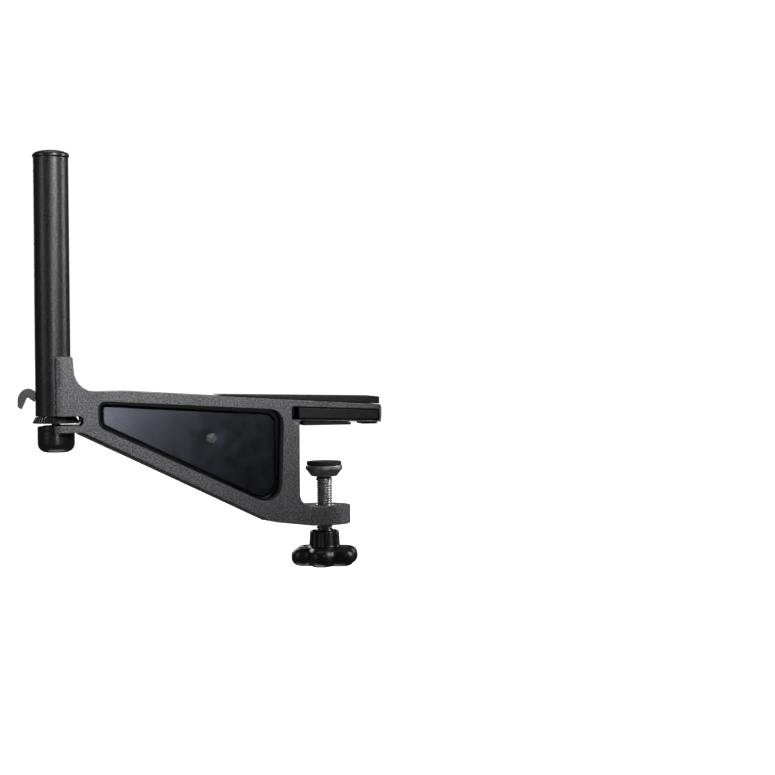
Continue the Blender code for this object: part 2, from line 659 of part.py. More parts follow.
def lug_pieces(shop, plastic, nylon):
    """The cup under the lug and the bush in it."""
    inner = CUP_RADIUS - CUP_WALL
    turns = [math.radians(22.5 * step) for step in range(5)]
    profile = [(inner, CUP_TOP), (CUP_RADIUS - 0.6, CUP_TOP), (CUP_RADIUS, CUP_TOP - 0.8)]
    for turn in turns:
        reach, fall = CUP_BEND * math.cos(turn), CUP_BEND * math.sin(turn)
        profile.append((CUP_RADIUS - CUP_BEND + reach, CUP_BOTTOM + CUP_BEND - fall))
    floor = CUP_BOTTOM + 1.8
    profile += [(0, CUP_BOTTOM), (0, floor), (inner - 2.4, floor), (inner, floor + 2.4)]
    at = (ADJUSTER_X, 0, 0)
    cup = shop.turned_part("end_cup", profile, plastic, at, steps=40, ring=True)
    low = (LUG_LEFT - GAP, -20, LUG_BOTTOM - GAP)
    cut(cup, shop.tool(box("lug_space", low, (POST_X + 20, 20, 10))))
    top, bore = SLOT_BOTTOM - 0.1, SPINDLE_RADIUS + GAP
    bush = [(BUSH_RADIUS, top), (BUSH_RADIUS, LUG_BOTTOM), (bore, LUG_BOTTOM), (bore, top)]
    shop.turned_part("lug_bush", bush, nylon, at, steps=28, ring=True)


def star(lobes, radius, depth, points_per_lobe, turn):
    """A round outline of broad lobes with hollows between them."""
    count = lobes * points_per_lobe
    outline = []
    for index in range(count):
        angle = math.tau * index / count
        reach = radius - depth * (0.5 - 0.5 * math.cos(lobes * angle)) ** 1.6
        outline.append((reach * math.cos(angle + turn), reach * math.sin(angle + turn)))
    return outline


def clamp_pieces(shop, plastic, rubber, steel, zinc):
    """Threaded insert, screw, star knob and the swivelling foot."""
    insert = [
        (INSERT_RADIUS, THROAT_BOTTOM - 0.2),
        (INSERT_RADIUS, BASE_BOTTOM + 0.2),
        (SCREW_RADIUS + GAP, BASE_BOTTOM + 0.2),
        (SCREW_RADIUS + GAP, THROAT_BOTTOM - 0.2),
    ]
    shop.turned_part("thread_insert", insert, zinc, steps=40, ring=True)
    profile = [
        (0, NECK_TOP),
        (NECK_RADIUS, NECK_TOP),
        (NECK_RADIUS, RING_TOP),
        (NECK_RADIUS - 0.8, RING_TOP),
        (NECK_RADIUS - 0.8, RING_BOTTOM),
        (NECK_RADIUS, RING_BOTTOM),
        (NECK_RADIUS, NECK_BOTTOM),
        (SCREW_RADIUS - 0.8, NECK_BOTTOM),
        (SCREW_RADIUS, NECK_BOTTOM - 0.8),
        (SCREW_RADIUS, SCREW_BOTTOM),
        (0, SCREW_BOTTOM),
    ]
    screw = shop.turned_part("clamp_screw", profile, steel, steps=24)
    outline = star(KNOB_LOBES, KNOB_RADIUS, 4.2, 12, KNOB_TURN)
    knob = shop.part("star_knob", prism("knob", outline, KNOB_BOTTOM, KNOB_TOP, rim=KNOB_RIM), plastic)
    hub = prism("hub", star(HUB_FLUTES, HUB_RADIUS, 1.1, 8, HUB_TURN), KNOB_TOP - 3, HUB_TOP)
    for vertex in hub.vertices:
        if vertex.co.z > KNOB_TOP * METRE:
            vertex.co.xy *= HUB_TAPER
    cut(knob, shop.tool(hub), "UNION")
    cut(knob, shop.tool(rod("knob_bore", SCREW_RADIUS + GAP, (0, 0, SCREW_BOTTOM - GAP), (0, 0, -50), 32)))
    seat, mouth = NECK_RADIUS + GAP, 6.0
    foot_profile = [
        (0, FOOT_TOP),
        (FOOT_RADIUS - 0.8, FOOT_TOP),
        (FOOT_RADIUS, FOOT_TOP - 0.8),
        (FOOT_RADIUS, FOOT_TOP - 2.6),
        (7.6, FOOT_BOTTOM),
        (mouth, FOOT_BOTTOM),
        (mouth, RING_TOP + GAP),
        (seat, RING_TOP + GAP),
        (seat, NECK_TOP + GAP),
        (0, NECK_TOP + GAP),
    ]
    foot = shop.turned_part("pressure_foot", foot_profile, zinc, steps=32)
    pad = [
        (0, FOOT_FACE),
        (FOOT_RADIUS - 1.1, FOOT_FACE),
        (FOOT_RADIUS - 0.6, FOOT_FACE - 0.5),
        (FOOT_RADIUS - 0.6, FOOT_TOP + GAP),
        (0, FOOT_TOP + GAP),
    ]
    foot_pad = shop.turned_part("foot_pad", pad, rubber, steps=32)
    clip = snap_ring(shop, "foot_clip", (RING_TOP + RING_BOTTOM) / 2, NECK_RADIUS - 0.5, 5.4, steel, (0, 0, 0))
    return (screw, knob), (foot, foot_pad, clip)


def main():
    clear_scene()
    shop = Workshop("net_clamp")
    coat = principled("powder_coat", (0.035, 0.036, 0.038), 0.55)
    plastic = principled("black_plastic", (0.02, 0.02, 0.022), 0.35)
    panel_plastic = principled("panel_plastic", (0.03, 0.031, 0.035), 0.3)
    insert_plastic = principled("insert_plastic", (0.06, 0.062, 0.065), 0.45)
    hook_plastic = principled("hook_plastic", (0.06, 0.06, 0.058), 0.5)
    nylon = principled("nylon", (0.08, 0.08, 0.08), 0.5)
    rubber = principled("rubber", (0.02, 0.02, 0.02), 0.85)
    steel = principled("zinc_plated_steel", (0.55, 0.55, 0.56), 0.35, 1.0)
    zinc = principled("die_cast_zinc", (0.35, 0.35, 0.36), 0.45, 1.0)

    bracket_casting(shop, coat)
    side_panels(shop, panel_plastic)
    panel_rivet(shop, steel)
    jaw_pieces(shop, plastic, insert_plastic, rubber)
    cradle_liner(shop, nylon)
    lug_pieces(shop, plastic, nylon)

    post_slide = pivot(shop, "post_axis", (POST_X, 0, POST_BOTTOM))
    carry(post_slide, *post_pieces(shop, coat, plastic, hook_plastic, nylon, steel))
    wheel_hinge = pivot(shop, "wheel_axis", (ADJUSTER_X, 0, WHEEL_BOTTOM))
    carry(wheel_hinge, *adjuster_pieces(shop, plastic, steel))
    turning, sliding = clamp_pieces(shop, plastic, rubber, steel, zinc)
    foot_slide = pivot(shop, "foot_axis", (0, 0, FOOT_BOTTOM))
    carry(foot_slide, *sliding)
    screw_hinge = pivot(shop, "screw_axis", (0, 0, NECK_BOTTOM))
    carry(screw_hinge, *turning)


main()
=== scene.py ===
"""Table tennis net clamp: the looks of every piece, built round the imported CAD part.

Shapes are given in millimetres and scaled to metres as their meshes are made. Every piece keeps the place and
size of the CAD node that it stands for."""

import json
import math

import bmesh
import bpy
from mathutils import Matrix, Vector
from mathutils.bvhtree import BVHTree

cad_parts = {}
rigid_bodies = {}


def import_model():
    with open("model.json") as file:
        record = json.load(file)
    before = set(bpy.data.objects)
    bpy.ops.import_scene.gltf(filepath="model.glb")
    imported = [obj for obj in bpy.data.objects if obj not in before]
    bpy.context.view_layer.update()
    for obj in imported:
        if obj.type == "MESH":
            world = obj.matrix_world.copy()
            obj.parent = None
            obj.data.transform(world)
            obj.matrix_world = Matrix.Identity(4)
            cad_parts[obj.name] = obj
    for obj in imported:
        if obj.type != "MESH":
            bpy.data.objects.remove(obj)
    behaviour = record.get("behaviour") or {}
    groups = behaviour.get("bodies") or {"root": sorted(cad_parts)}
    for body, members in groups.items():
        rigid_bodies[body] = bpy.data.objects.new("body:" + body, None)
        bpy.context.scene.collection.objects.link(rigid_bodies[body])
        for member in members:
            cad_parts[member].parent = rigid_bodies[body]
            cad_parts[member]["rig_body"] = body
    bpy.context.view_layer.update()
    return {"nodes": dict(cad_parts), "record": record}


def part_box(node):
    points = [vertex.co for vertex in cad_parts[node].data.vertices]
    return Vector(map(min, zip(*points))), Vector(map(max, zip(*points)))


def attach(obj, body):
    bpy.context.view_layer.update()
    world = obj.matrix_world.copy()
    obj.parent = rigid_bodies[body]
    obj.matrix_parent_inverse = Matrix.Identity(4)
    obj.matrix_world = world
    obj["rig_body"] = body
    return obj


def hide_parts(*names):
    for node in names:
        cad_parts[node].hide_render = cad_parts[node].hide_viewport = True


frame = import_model()

MM = 0.001
nodes = frame["nodes"]
slot_of = {part["node"]: part["material_slot"] for part in frame["record"]["subparts"]}
POST_X = sum(corner.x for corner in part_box("post_tube")) / 2 / MM
ADJUSTER_X = sum(corner.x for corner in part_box("thumbwheel")) / 2 / MM


# ---------------------------------------------------------------- materials


class Look:
    """A Principled material built up in layers: tones in soft patches, grain, roughness, relief and wear."""

    def __init__(self, name, metallic=0.0, specular=0.5):
        self.material = bpy.data.materials.new(name)
        self.material.use_nodes = True
        self.tree = self.material.node_tree
        self.shader = self.tree.nodes["Principled BSDF"]
        self.shader.inputs["Metallic"].default_value = metallic
        self.shader.inputs["Specular IOR Level"].default_value = specular
        self.place = self.add("ShaderNodeTexCoord").outputs["Object"]
        self.relief = None

    def add(self, kind, **inputs):
        node = self.tree.nodes.new(kind)
        for name, value in inputs.items():
            self.feed(node.inputs[name.replace("_", " ")], value)
        return node

    def feed(self, socket, value):
        if isinstance(value, bpy.types.NodeSocket):
            self.tree.links.new(value, socket)
        else:
            socket.default_value = value

    def noise(self, size, detail=2.0, roughness=0.5, stretch=(1, 1, 1), shift=0.0):
        """Noise whose features are about size millimetres across, from 0 to 1."""
        moved = (shift, shift, shift)
        place = self.add("ShaderNodeMapping", Vector=self.place, Scale=stretch, Location=moved).outputs[0]
        scale = 1 / (size * MM)
        node = self.add("ShaderNodeTexNoise", Vector=place, Scale=scale, Detail=detail, Roughness=roughness)
        return node.outputs["Fac"]

    def cells(self, size):
        """Distance to the nearest of many scattered points, about size millimetres apart."""
        return self.add("ShaderNodeTexVoronoi", Vector=self.place, Scale=1 / (size * MM)).outputs["Distance"]

    def spread(self, source, low, high, to_low=0.0, to_high=1.0):
        node = self.add("ShaderNodeMapRange", Value=source)
        for socket, value in zip(node.inputs[1:5], (low, high, to_low, to_high)):
            self.feed(socket, value)
        return node.outputs[0]

    def maths(self, operation, first, second):
        node = self.add("ShaderNodeMath")
        node.operation = operation
        self.feed(node.inputs[0], first)
        self.feed(node.inputs[1], second)
        return node.outputs[0]

    def blend(self, share, first, second):
        """A colour between two colours."""
        node = self.add("ShaderNodeMix")
        node.data_type = "RGBA"
        for index, value in ((0, share), (6, first), (7, second)):
            if isinstance(value, tuple):
                value = (*value, 1.0)
            self.feed(node.inputs[index], value)
        return node.outputs[2]

    def raise_by(self, height, distance):
        """Adds a layer of relief, distance millimetres high."""
        node = self.add("ShaderNodeBump", Height=height, Distance=distance * MM, Strength=1.0)
        if self.relief:
            self.tree.links.new(self.relief, node.inputs["Normal"])
        self.relief = node.outputs[0]

    def edges(self, sign):
        """1 along the mesh's rounded outer edges (sign 1) or its inner corners (sign -1), and 0 elsewhere."""
        node = self.add("ShaderNodeAttribute")
        node.attribute_name = "edge"
        return self.spread(node.outputs["Fac"], 0.15 * sign, 1.0 * sign)

    def within(self, axis, low, high, soft):
        """1 between two places on an axis, in millimetres, with soft ends."""
        place = self.add("ShaderNodeSeparateXYZ", Vector=self.place).outputs[axis]
        rise = self.spread(place, (low - soft) * MM, (low + soft) * MM)
        fall = self.spread(place, (high + soft) * MM, (high - soft) * MM)
        return self.maths("MULTIPLY", rise, fall)

    def done(self, colour, roughness):
        self.feed(self.shader.inputs["Base Color"], colour)
        self.feed(self.shader.inputs["Roughness"], roughness)
        if self.relief:
            self.tree.links.new(self.relief, self.shader.inputs["Normal"])
        return self.material


def sand_coat(name, dark, light, glint, grain, worn_zones=(), gloss=0.0, painted_grain_contrast=1.0, relief=1.0):
    """Powder coat with a sand texture: grains with painted shade in their hollows and painted highlights on
    their crests, painted glints, painted shade in inner corners and recesses, chips on the edges.
    """
    look = Look(name, specular=0.5)
    patches = look.spread(look.noise(14, 3), 0.35, 0.65)
    fine = look.noise(grain * 0.8, 2, 0.6)
    coarse = look.noise(grain * 1.35, 2, 0.65, shift=0.3)
    colour = look.blend(patches, dark, light)
    # Painted shade in the grain's hollows and painted highlights on its crests, where the relief below is low
    # and high; then painted glints on the finest grains.
    hollow = look.maths("MULTIPLY", look.spread(coarse, 0.52, 0.34), min(0.9, 0.75 * painted_grain_contrast))
    colour = look.blend(hollow, colour, tuple(0.3 * c for c in dark))
    painted_grain_highlight = look.maths("MULTIPLY", look.spread(coarse, 0.5, 0.68), 0.55 * painted_grain_contrast)
    colour = look.blend(painted_grain_highlight, colour, tuple(2.0 * c for c in light))
    colour = look.blend(look.spread(fine, 0.6, 0.78), colour, glint)
    # Painted shade along the inner corners, at 0.4 times the dark tone.
    colour = look.blend(look.edges(-1), colour, tuple(0.4 * c for c in dark))
    # Painted shade in recesses and gaps, darker where the ambient occlusion within 9 mm is strong.
    painted_recess_shade = look.add("ShaderNodeAmbientOcclusion", Distance=9 * MM).outputs["AO"]
    colour = look.blend(look.spread(painted_recess_shade, 0.72, 0.35, 0.0, 0.85), colour, tuple(0.15 * c for c in dark))
    chips = look.spread(look.noise(0.9, 3, 0.7, shift=0.7), 0.48, 0.6)
    wear = look.maths("MULTIPLY", look.edges(1), chips)
    wear = look.maths("MULTIPLY", wear, look.spread(look.noise(11, 2), 0.4, 0.62, 0.15, 0.8))
    for axes in worn_zones:
        zone = chips
        for axis, low, high in axes:
            zone = look.maths("MULTIPLY", zone, look.within(axis, low, high, 0.35))
        wear = look.maths("MAXIMUM", wear, zone)
    colour = look.blend(wear, colour, (0.36, 0.36, 0.37))
    look.raise_by(coarse, 0.2 * relief)
    look.raise_by(fine, 0.12 * relief)
    look.raise_by(look.cells(grain * 1.5), 0.05 * relief)
    roughness = look.spread(look.maths("ADD", coarse, fine), 0.7, 1.3, 0.42 + gloss, 0.62 + gloss)
    return look.done(colour, roughness)


DIMPLE_DEPTH = 0.12


def moulded(name, dark, light, shine, grain=0.35, height=0.012, wave=0.0, rub=(0.09, 0.09, 0.095), wear=0.5,
            specular=0.5, sheen=(1.0, 1.0, 1.0), dimple=None):
    """Moulded plastic: faint flow patches, a fine eroded grain, scattered scuffs and lightly rubbed edges."""
    look = Look(name, specular=specular)
    look.shader.inputs["Specular Tint"].default_value = (*sheen, 1.0)
    flow = look.spread(look.noise(22, 3, 0.5, (1, 1, 2.2)), 0.35, 0.65)
    colour = look.blend(flow, dark, light)
    scuffs = look.spread(look.noise(1.6, 4, 0.75, (0.35, 1, 1.6), 0.4), 0.66, 0.8)
    scuffs = look.maths("MULTIPLY", scuffs, look.spread(look.noise(17, 2, shift=0.2), 0.5, 0.7))
    colour = look.blend(look.maths("MULTIPLY", scuffs, 0.15), colour, rub)
    uneven_wear = look.spread(look.noise(2.2, 3, 0.7), 0.42, 0.62, 0.0, wear)
    rubbed = look.maths("MULTIPLY", look.edges(1), uneven_wear)
    colour = look.blend(rubbed, colour, rub)
    # Painted shade along the inner corners.
    colour = look.blend(look.maths("MULTIPLY", look.edges(-1), 0.6), colour, tuple(0.4 * c for c in dark))
    if wave:
        look.raise_by(look.noise(26, 1, 0.4), wave)
    if dimple:
        look.raise_by(dimple_field(look, *dimple), DIMPLE_DEPTH)
    eroded = look.noise(grain, 2, 0.6)
    look.raise_by(eroded, height)
    uneven = look.noise(6.5, 4, 0.6, shift=0.6)
    roughness = look.spread(look.maths("ADD", uneven, scuffs), 0.35, 0.9, shine - 0.05, shine + 0.09)
    return look.done(colour, roughness)


def dimple_field(look, x, z, reach):
    """0 at a point of the XZ plane, rising smoothly to 1 at a distance of reach millimetres."""
    parts = look.add("ShaderNodeSeparateXYZ", Vector=look.place)
    across = look.maths("SUBTRACT", parts.outputs[0], x * MM)
    along = look.maths("SUBTRACT", parts.outputs[2], z * MM)
    square = look.maths("ADD", look.maths("MULTIPLY", across, across), look.maths("MULTIPLY", along, along))
    node = look.add("ShaderNodeMapRange", Value=look.maths("SQRT", square, 0.0))
    node.interpolation_type = "SMOOTHSTEP"
    node.inputs["From Max"].default_value = reach * MM
    return node.outputs[0]


def rubbery(name, dark, light):
    """Black rubber: matt, slightly pitted, with pale dust caught in its skin."""
    look = Look(name, specular=0.35)
    colour = look.blend(look.spread(look.noise(5, 3), 0.35, 0.65), dark, light)
    dust = look.spread(look.noise(0.8, 3, 0.8, shift=0.5), 0.56, 0.72)
    colour = look.blend(look.maths("MULTIPLY", dust, 0.45), colour, (0.16, 0.165, 0.175))
    colour = look.blend(look.maths("MULTIPLY", look.edges(1), 0.4), colour, (0.07, 0.07, 0.075))
    look.raise_by(look.noise(0.9, 3, 0.7), 0.07)
    look.raise_by(look.cells(0.6), 0.03)
    return look.done(colour, look.spread(dust, 0, 1, 0.68, 0.9))


def plated(name, dark, light, shine, tint, lines=0.25, height=0.006):
    """Zinc-plated steel: fine turning lines, clouded plate and brighter worn edges."""
    look = Look(name, metallic=1.0)
    clouds = look.spread(look.noise(3.5, 4, 0.6), 0.35, 0.65)
    colour = look.blend(clouds, dark, light)
    stains = look.spread(look.noise(8, 2, shift=0.4), 0.5, 0.7)
    colour = look.blend(look.maths("MULTIPLY", stains, 0.5), colour, tint)
    colour = look.blend(look.edges(1), colour, tuple(min(1.0, 1.15 * c) for c in light))
    turned = look.noise(lines, 2, 0.6, (0.08, 0.08, 1))
    look.raise_by(turned, height)
    look.raise_by(look.noise(0.4, 2), 0.004)
    roughness = look.spread(look.maths("ADD", clouds, turned), 0.4, 1.5, shine - 0.07, shine + 0.12)
    return look.done(colour, roughness)


def cast_metal(name, dark, light, shine):
    """As-cast zinc: dull, grainy, with shallow flow marks."""
    look = Look(name, metallic=1.0)
    colour = look.blend(look.spread(look.noise(4, 4, 0.6), 0.35, 0.65), dark, light)
    spots = look.spread(look.noise(0.7, 2, 0.7, shift=0.9), 0.6, 0.75)
    colour = look.blend(look.maths("MULTIPLY", spots, 0.5), colour, tuple(0.35 * c for c in dark))
    colour = look.blend(look.edges(1), colour, tuple(min(1.0, 1.3 * c) for c in light))
    look.raise_by(look.noise(1.1, 3, 0.6), 0.06)
    look.raise_by(look.noise(0.35, 2, 0.6), 0.03)
    return look.done(colour, look.spread(look.noise(2.5, 3, shift=0.1), 0.3, 0.7, shine - 0.08, shine + 0.12))


RIVET = (-68.9, -6.6)
# Where the casting's coat is chipped, as ranges along axes: the jaw's lower front edge and its end.
LIP = ((0, -21.0, 33.0), (2, 0.6, 2.6), (1, -16.0, -14.6))
END_LIP = ((0, 31.0, 33.0), (2, 1.0, 9.5), (1, -16.0, 16.0))

looks = {
    "casting_coat": sand_coat(
        "casting_coat", (0.092, 0.0915, 0.098), (0.128, 0.1275, 0.136), (0.34, 0.34, 0.355), grain=0.7,
        worn_zones=(LIP, END_LIP), painted_grain_contrast=1.5,
    ),
    # The post's coat is the casting's coat with much darker colours: painted shade over the whole post.
    "post_coat": sand_coat(
        "post_coat", (0.006, 0.0061, 0.0068), (0.009, 0.0092, 0.010), (0.07, 0.07, 0.074), grain=0.5,
        gloss=-0.2, painted_grain_contrast=0.8, relief=0.3,
    ),
    "nylon": moulded("nylon", (0.04, 0.041, 0.043), (0.055, 0.056, 0.058), shine=0.42, rub=(0.2, 0.2, 0.2)),
    "panel_plastic": moulded(
        "panel_plastic", (0.0045, 0.0048, 0.0058), (0.006, 0.0064, 0.0078), shine=0.22, grain=0.4,
        height=0.003, wave=0.07, rub=(0.10, 0.105, 0.115), sheen=(0.86, 0.91, 1.12), dimple=(*RIVET, 9.0),
    ),
    "rivet_paint": sand_coat(
        "rivet_paint", (0.07, 0.07, 0.074), (0.12, 0.12, 0.125), (0.3, 0.3, 0.3), grain=0.9
    ),
    "cover_plastic": moulded(
        "cover_plastic", (0.005, 0.0053, 0.006), (0.007, 0.0074, 0.0085), shine=0.45, wave=0.1, specular=0.3
    ),
    "black_plastic": moulded(
        "black_plastic", (0.0065, 0.0065, 0.0068), (0.010, 0.010, 0.0105), shine=0.3, height=0.008
    ),
    "wheel_plastic": moulded(
        "wheel_plastic", (0.010, 0.010, 0.0105), (0.015, 0.015, 0.0155), shine=0.45, rub=(0.10, 0.10, 0.105),
        specular=0.3,
    ),
    "knob_plastic": moulded(
        "knob_plastic", (0.006, 0.006, 0.0065), (0.010, 0.010, 0.0105), shine=0.36, height=0.02
    ),
    "insert_plastic": moulded(
        "insert_plastic", (0.006, 0.006, 0.0068), (0.008, 0.008, 0.009), shine=0.5, height=0.01, specular=0.3
    ),
    "rubber": rubbery("rubber", (0.011, 0.0115, 0.0125), (0.018, 0.0185, 0.020)),
    "hook_plastic": moulded(
        "hook_plastic", (0.04, 0.04, 0.0385), (0.062, 0.062, 0.060), shine=0.5, height=0.03,
        rub=(0.25, 0.25, 0.24), wear=0.8,
    ),
    "zinc_plated_steel": plated(
        "zinc_plated_steel", (0.50, 0.50, 0.51), (0.66, 0.66, 0.67), shine=0.30, tint=(0.60, 0.57, 0.48)
    ),
    "blackened_steel": plated(
        "blackened_steel", (0.03, 0.03, 0.032), (0.06, 0.06, 0.063), shine=0.36, tint=(0.05, 0.04, 0.03)
    ),
    "die_cast_zinc": cast_metal("die_cast_zinc", (0.34, 0.34, 0.35), (0.46, 0.46, 0.47), shine=0.46),
}


# ---------------------------------------------------------------- mesh tools


def rounded(corners, step=math.radians(7.5)):
    """The points of a closed outline whose corners (x, y, radius) are replaced by arcs."""
    points = []
    count = len(corners)
    for index, (x, y, radius) in enumerate(corners):
        corner = Vector((x, y))
        before = (Vector(corners[index - 1][:2]) - corner).normalized()
        after = (Vector(corners[(index + 1) % count][:2]) - corner).normalized()
        half = before.angle(after) / 2
        centre = corner + (before + after).normalized() * radius / math.sin(half)
        start = corner + before * radius / math.tan(half) - centre
        end = corner + after * radius / math.tan(half) - centre
        turn = math.atan2(start.cross(end), start.dot(end))
        arcs = max(1, math.ceil(abs(turn) / step - 1e-6))
        for arc in range(arcs + 1):
            points.append(centre + Matrix.Rotation(turn * arc / arcs, 2) @ start)
    return points


def inset(corners, distance):
    """The corners of an outline moved inwards by a distance, their radii kept concentric."""
    area = sum(a[0] * b[1] - b[0] * a[1] for a, b in zip(corners, corners[1:] + corners[:1]))
    side = 1 if area > 0 else -1
    moved = []
    for index, (x, y, radius) in enumerate(corners):
        corner = Vector((x, y))
        before = (corner - Vector(corners[index - 1][:2])).normalized()
        after = (Vector(corners[(index + 1) % len(corners)][:2]) - corner).normalized()
        inward = Vector((-before.y - after.y, before.x + after.x)).normalized() * side
        normal = Vector((-before.y, before.x)) * side
        place = corner + inward * distance / inward.dot(normal)
        moved.append((place.x, place.y, max(radius - distance, 0.05)))
    return tuple(moved)


def loft(rings, start=None, end=None, closed=False):
    """A mesh through rings of equally many points, in millimetres. Its ends are flat, or meet at a point."""
    shape = bmesh.new()
    levels = [[shape.verts.new(Vector(p) * MM) for p in ring] for ring in rings]
    count = len(levels[0])
    pairs = list(zip(levels, levels[1:])) + ([(levels[-1], levels[0])] if closed else [])
    for low, high in pairs:
        for i in range(count):
            j = (i + 1) % count
            shape.faces.new((low[i], low[j], high[j], high[i]))
    if not closed:
        for level, pole in ((levels[0], start), (levels[-1], end)):
            if pole is None:
                shape.faces.new(level)
                continue
            tip = shape.verts.new(Vector(pole) * MM)
            for i in range(count):
                shape.faces.new((level[i], level[(i + 1) % count], tip))
    bmesh.ops.recalc_face_normals(shape, faces=shape.faces)
    return shape


def circle(radius, height, steps, centre=(0.0, 0.0)):
    turns = (math.tau * step / steps for step in range(steps))
    return [(centre[0] + radius * math.cos(t), centre[1] + radius * math.sin(t), height) for t in turns]


def lathe(profile, centre=(0.0, 0.0), steps=96, closed=False):
    """A solid of revolution about a vertical axis, its profile given as (radius, height)."""
    tips = [profile[0], profile[-1]]
    poles = [(*centre, height) if radius == 0 else None for radius, height in tips]
    rings = [circle(radius, height, steps, centre) for radius, height in profile if radius > 0]
    return loft(rings, *poles, closed=closed)


def arc(radius, centre, start, end, count=8):
    """Points (radius, height) of a profile's arc between two angles, in degrees."""
    angles = (math.radians(start + (end - start) * i / count) for i in range(count + 1))
    return [(centre[0] + radius * math.cos(a), centre[1] + radius * math.sin(a)) for a in angles]


def ring_of(reach, steps, height, centre=(0.0, 0.0)):
    """A level ring about a vertical axis, its radius given as a function of the angle."""
    turns = (math.tau * step / steps for step in range(steps))
    return [(centre[0] + reach(t) * math.cos(t), centre[1] + reach(t) * math.sin(t), height) for t in turns]


def rim(radius, face, steps):
    """The inset and the depth of each ring of a rounded rim, from a shape's side to its face."""
    angles = (math.radians(90 * i / steps) for i in range(steps + 1))
    return [(radius - radius * math.cos(a), face - radius + radius * math.sin(a)) for a in angles]


def outline_ring(outline, distance, depth):
    """An outline of the XZ plane moved inwards by a distance, at a place along Y."""
    return [(p.x, depth, p.y) for p in rounded(inset(outline, distance))]


def block(low, high):
    """A box between two corners, in millimetres."""
    (x0, y0, z0), (x1, y1, z1) = low, high
    return loft([[(x0, y0, z), (x1, y0, z), (x1, y1, z), (x0, y1, z)] for z in (z0, z1)])


def turn_about_y_axis(shape, x, z):
    """Stands a shape made about the Z axis along Y, through a point of the XZ plane."""
    matrix = Matrix.Translation(Vector((x, 0, z)) * MM) @ Matrix.Rotation(math.pi / 2, 4, "X")
    bmesh.ops.transform(shape, matrix=matrix, verts=shape.verts)
    return shape


def plain_object(shape):
    mesh = bpy.data.meshes.new("shape")
    shape.to_mesh(mesh)
    shape.free()
    obj = bpy.data.objects.new("shape", mesh)
    bpy.context.scene.collection.objects.link(obj)
    return obj


def joined(shape, other, operation):
    """A shape with another cut out of it (DIFFERENCE) or added to it (UNION)."""
    base, tool = plain_object(shape), plain_object(other)
    modifier = base.modifiers.new("cut", "BOOLEAN")
    modifier.operation = operation
    modifier.object = tool
    graph = bpy.context.evaluated_depsgraph_get()
    mesh = bpy.data.meshes.new_from_object(base.evaluated_get(graph))
    result = bmesh.new()
    result.from_mesh(mesh)
    bpy.data.meshes.remove(mesh)
    for obj in (base, tool):
        bpy.data.objects.remove(obj, do_unlink=True)
    return merged(result)


SAME_POINT = 0.002 * MM


def merged(shape):
    """The shape with its doubled points joined and its flat facets made into whole faces."""
    bmesh.ops.remove_doubles(shape, verts=shape.verts, dist=SAME_POINT)
    flat = math.radians(0.3)
    bmesh.ops.dissolve_limit(
        shape, angle_limit=flat, verts=shape.verts, edges=shape.edges, use_dissolve_boundaries=False
    )
    return shape


def cad_shape(node):
    shape = bmesh.new()
    shape.from_mesh(nodes[node].data)
    return merged(shape)


SLIM = 0.045  # faces under about twice this width have their points merged, where they lie that close


def soften(shape, width, segments, least=30.0):
    """Rounds every edge that turns by more than least degrees, and marks it for the materials."""
    mark = shape.verts.layers.float.new("edge")
    sharp = [e for e in shape.edges if e.is_manifold and e.calc_face_angle(0) > math.radians(least)]
    if not sharp:
        return shape
    original = BVHTree.FromBMesh(shape)
    made = bmesh.ops.bevel(
        shape,
        geom=sharp,
        offset=width * MM,
        offset_type="OFFSET",
        segments=segments,
        profile=0.5,
        affect="EDGES",
        clamp_overlap=False,
        loop_slide=True,
    )
    for vertex in shape.verts:
        place, _, _, distance = original.find_nearest(vertex.co)
        if distance > 0.6 * width * MM:
            vertex.co = place
    long_faces = (f for f in shape.faces if len(f.verts) > 8)
    slim = [f for f in long_faces if f.calc_area() < SLIM * MM * f.calc_perimeter()]
    slim_points = dict.fromkeys(v for f in slim for v in f.verts)  # in the mesh's order, the same every run
    bmesh.ops.remove_doubles(shape, verts=list(slim_points), dist=2 * SLIM * MM)
    bmesh.ops.dissolve_degenerate(shape, edges=shape.edges, dist=1e-6)
    shape.normal_update()
    rims = {face for face in made["faces"] if face.is_valid}
    for vertex in shape.verts:
        if not all(face in rims for face in vertex.link_faces):
            continue
        around = sum(((e.other_vert(vertex).co - vertex.co) for e in vertex.link_edges), Vector())
        vertex[mark] = 1.0 if around.dot(vertex.normal) < 0 else -1.0
    return shape


def piece(name, shape, node, width=0.0, segments=2, least=30.0):
    """Makes a piece of a shape, in place of a CAD node and with that node's material."""
    if width:
        soften(shape, width, segments, least)
    obj = plain_object(shape)
    obj.name = obj.data.name = name
    obj.data.shade_smooth()
    obj.data.set_sharp_from_angle(angle=math.radians(50))
    obj.data.materials.append(looks[slot_of[node]])
    normals = obj.modifiers.new("normals", "WEIGHTED_NORMAL")
    normals.keep_sharp = True
    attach(obj, nodes[node]["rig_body"])
    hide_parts(node)
    return obj


# ---------------------------------------------------------------- bracket

# Pieces with the CAD's own shape. The numbers are the rounding of their edges, its steps and the least angle.
for name, node, *rounding in (
    ("casting", "bracket_casting", 0.45, 3, 30),
    ("top_cover", "jaw_top_cover", 0.3, 3, 30),
    ("front_insert", "jaw_front_insert", 0.25, 2, 20),
    ("rear_insert", "jaw_rear_insert", 0.25, 2, 20),
    ("table_pad", "jaw_pad", 0.2, 2, 30),
    ("tip_foot", "jaw_tip_foot", 0.2, 2, 25),
    ("liner", "cradle_liner", 0.12, 2, 30),
):
    piece(name, cad_shape(node), node, *rounding)

PANEL = ((-131.9, 13.9, 2.6), (-30.6, 7.1, 6.5), (-30.9, -46.8, 8.5), (-131.9, 1.8, 4.2))
PANEL_BACK, PANEL_FACE, PANEL_WALL, PANEL_RIM = 2.0, 7.0, 1.7, 1.5
PANEL_POST, PANEL_HOLE = 4.5, 2.2


